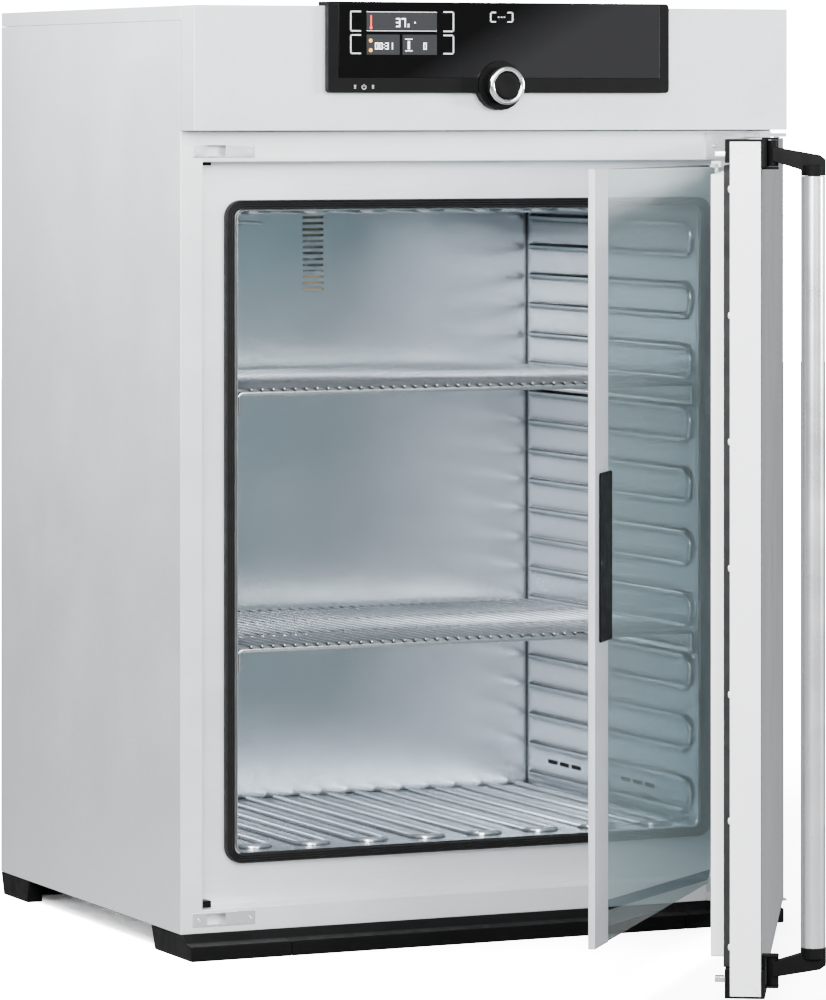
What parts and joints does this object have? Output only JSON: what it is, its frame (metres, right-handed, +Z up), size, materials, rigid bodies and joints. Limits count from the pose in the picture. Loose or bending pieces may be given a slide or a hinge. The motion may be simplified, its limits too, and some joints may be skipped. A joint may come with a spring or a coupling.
{
  "type": "laboratory incubator",
  "caption": "Free-standing laboratory incubator with a padded outer door, an inner glass door, a ribbed steel chamber, wire shelves and a top control panel.",
  "frame": {"origin": "on the floor under the front base rail, below the plane of the cabinet's front frame, mid width", "axes": "+X to the viewer's right facing the doors, +Y towards the back, +Z up"},
  "size_m": [0.8249, 1.3993, 1.1815],
  "materials": {
    "steel_textured": "textured stainless sheet, satin",
    "steel_chamber": "smooth stainless sheet, cool grey",
    "steel_fittings": "plain stainless",
    "steel_wire": "electropolished round wire",
    "black_plastic": "fine grain, matte",
    "base_dark": "fine textured dark grey coat",
    "panel_glass": "black gloss panel glass",
    "clear_glass": "clear, faint grey-green",
    "seal_black": "ribbed silicone",
    "gasket_black": "soft silicone strip",
    "tube_satin": "satin brushed",
    "knob_chrome": "polished",
    "white_plastic": "moulded, smooth",
    "insulation": "mineral wool",
    "electronics": "circuit board and coated metal"
  },
  "bodies": {
    "cabinet": {"side_panel_left": "steel_textured", "side_panel_right": "steel_textured", "top_cover": "steel_textured", "rear_panel": "steel_textured", "front_frame": "steel_textured", "control_fascia": "steel_textured", "base_plate": "steel_textured", "chamber_wall_left": "steel_chamber", "chamber_wall_right": "steel_chamber", "chamber_floor": "steel_chamber", "chamber_ceiling": "steel_chamber", "chamber_back_wall": "steel_chamber", "keeper_upper": "steel_fittings", "keeper_lower": "steel_fittings", "hinge_bracket_upper": "steel_fittings", "hinge_bracket_lower": "steel_fittings", "temperature_sensor": "steel_fittings", "vent_duct": "steel_fittings", "heater_left": "steel_fittings", "heater_right": "steel_fittings", "heater_floor": "steel_fittings", "heater_ceiling": "steel_fittings", "control_bezel": "black_plastic", "glass_catch_upper": "black_plastic", "glass_catch_lower": "black_plastic", "mains_inlet": "black_plastic", "flap_motor": "black_plastic", "foot_front_left": "base_dark", "front_base_rail": "base_dark", "foot_front_right": "base_dark", "rear_base": "base_dark", "control_glass": "panel_glass", "display_module": "panel_glass", "chamber_seal": "seal_black", "insulation_wrap": "insulation", "insulation_rear": "insulation", "control_board": "electronics", "power_unit": "electronics"},
    "main_door": {"door_shell": "steel_textured", "door_inner_panel": "steel_chamber", "door_insulation": "insulation", "door_gasket": "gasket_black", "lock_guide_upper": "black_plastic", "lock_guide_lower": "black_plastic"},
    "door_handle": {"handle_arm_upper": "black_plastic", "handle_arm_lower": "black_plastic", "handle_tube": "tube_satin"},
    "lock_hook_top": {"lock_hook_upper": "steel_fittings"},
    "lock_hook_bottom": {"lock_hook_lower": "steel_fittings"},
    "glass_door": {"glass_pane": "clear_glass", "glass_edge_profile": "steel_textured", "glass_grip": "black_plastic", "glass_hinge_upper": "white_plastic", "glass_hinge_lower": "white_plastic"},
    "knob_ring": {"control_knob_ring": "knob_chrome"},
    "knob_button": {"control_knob_button": "black_plastic"},
    "vent_flap": {"air_flap": "steel_fittings"},
    "shelf_top": {"shelf_upper": "steel_wire"},
    "shelf_bottom": {"shelf_lower": "steel_wire"}
  },
  "joints": [
    {"name": "main_door_hinge", "type": "hinge", "parent": "cabinet", "child": "main_door", "pos_m": [0.401, -0.035, 0.52], "axis": [0, 0, 1], "range_deg": [-60, 27]},
    {"name": "handle_turn", "type": "hinge", "parent": "main_door", "child": "door_handle", "pos_m": [0.02869, -0.72187, 0.55], "axis": [0, 0, 1], "range_deg": [0, 50]},
    {"name": "lock_slide_top", "type": "slide", "parent": "main_door", "child": "lock_hook_top", "axis": [0.5, 0.866, 0], "range_m": [0, 0.0121]},
    {"name": "lock_slide_bottom", "type": "slide", "parent": "main_door", "child": "lock_hook_bottom", "axis": [0.5, 0.866, 0], "range_m": [0, 0.0121]},
    {"name": "glass_door_hinge", "type": "hinge", "parent": "cabinet", "child": "glass_door", "pos_m": [0.372, 0.024, 0.52], "axis": [0, 0, 1], "range_deg": [-49.45, 22.3]},
    {"name": "knob_turn", "type": "hinge", "parent": "cabinet", "child": "knob_ring", "pos_m": [-0.0015, -0.067, 1.0772], "axis": [0, -1, 0], "continuous": true},
    {"name": "knob_press", "type": "slide", "parent": "cabinet", "child": "knob_button", "axis": [0, 1, 0], "range_m": [0, 0.0018], "stiffness_N_per_m": 900, "springref_m": -0.001},
    {"name": "flap_turn", "type": "hinge", "parent": "cabinet", "child": "vent_flap", "pos_m": [0.0007, 0.604, 0.851], "axis": [1, 0, 0], "range_deg": [0, 90]},
    {"name": "upper_shelf_slide", "type": "slide", "parent": "cabinet", "child": "shelf_top", "axis": [0, -1, 0], "range_m": [0, 0.012]},
    {"name": "lower_shelf_slide", "type": "slide", "parent": "cabinet", "child": "shelf_bottom", "axis": [0, -1, 0], "range_m": [0, 0.012]}
  ],
  "couplings": [
    {"joint": "lock_slide_top", "follows": "handle_turn", "m_per_rad": 0.01375},
    {"joint": "lock_slide_bottom", "follows": "handle_turn", "m_per_rad": 0.01375},
    {"joint": "glass_door_hinge", "follows": "main_door_hinge", "ratio": 0.82333}
  ]
}
